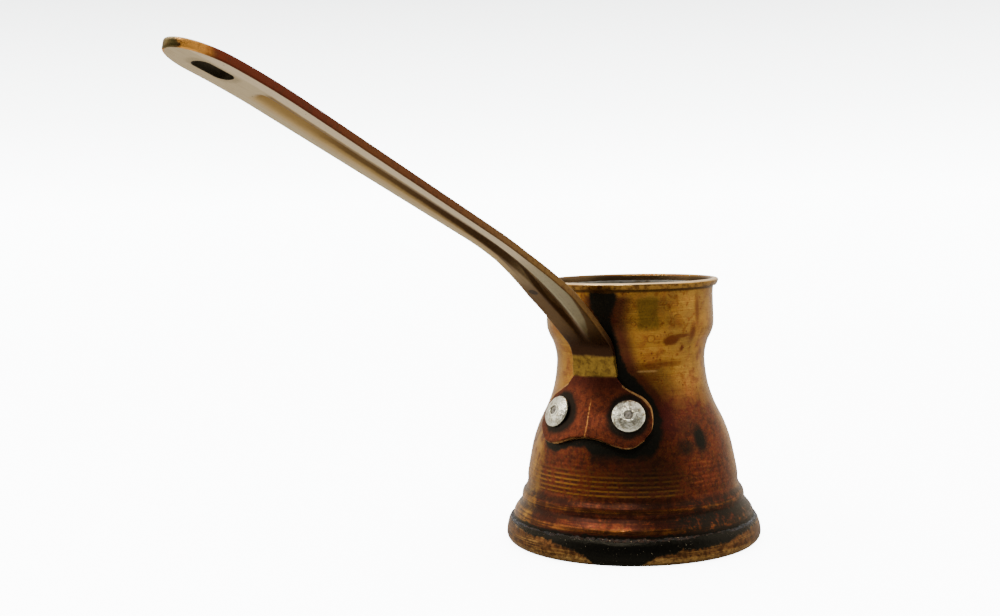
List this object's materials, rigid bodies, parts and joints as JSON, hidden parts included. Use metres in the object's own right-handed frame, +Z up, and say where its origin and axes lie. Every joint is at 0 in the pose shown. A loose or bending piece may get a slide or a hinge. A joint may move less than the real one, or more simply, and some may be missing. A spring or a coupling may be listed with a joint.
{
  "type": "coffee pot",
  "caption": "Small waisted brass coffee pot on a stepped foot, tinned inside, with a long grooved strip handle riveted to its side and a slot to hang it by.",
  "frame": {"origin": "centre of the base plate's underside, on the surface that the pot stands on", "axes": "+Z up along the pot's axis, +X along the handle, which lies in the XZ plane"},
  "size_m": [0.1914, 0.0642, 0.1127],
  "materials": {
    "body_brass": "spun brass with red-brown heat tarnish and soot",
    "base_brass": "pressed brass, tarnished and worn bright at its lower edge",
    "sooty_solder": "solder under a glossy black crust",
    "tin": "wiped tin, satin, stained by coffee",
    "handle_brass": "pale rolled brass, darker on its cut edges",
    "rivet_aluminium": "satin, lightly scratched",
    "mandrel_steel": "dull broken end"
  },
  "bodies": {
    "root": {"pot_shell": "body_brass", "base_plate": "base_brass", "base_solder": "sooty_solder", "tin_lining": "tin", "handle": "handle_brass", "rivet_body_left": "rivet_aluminium", "rivet_body_right": "rivet_aluminium", "rivet_mandrel_left": "mandrel_steel", "rivet_mandrel_right": "mandrel_steel"}
  },
  "joints": []
}
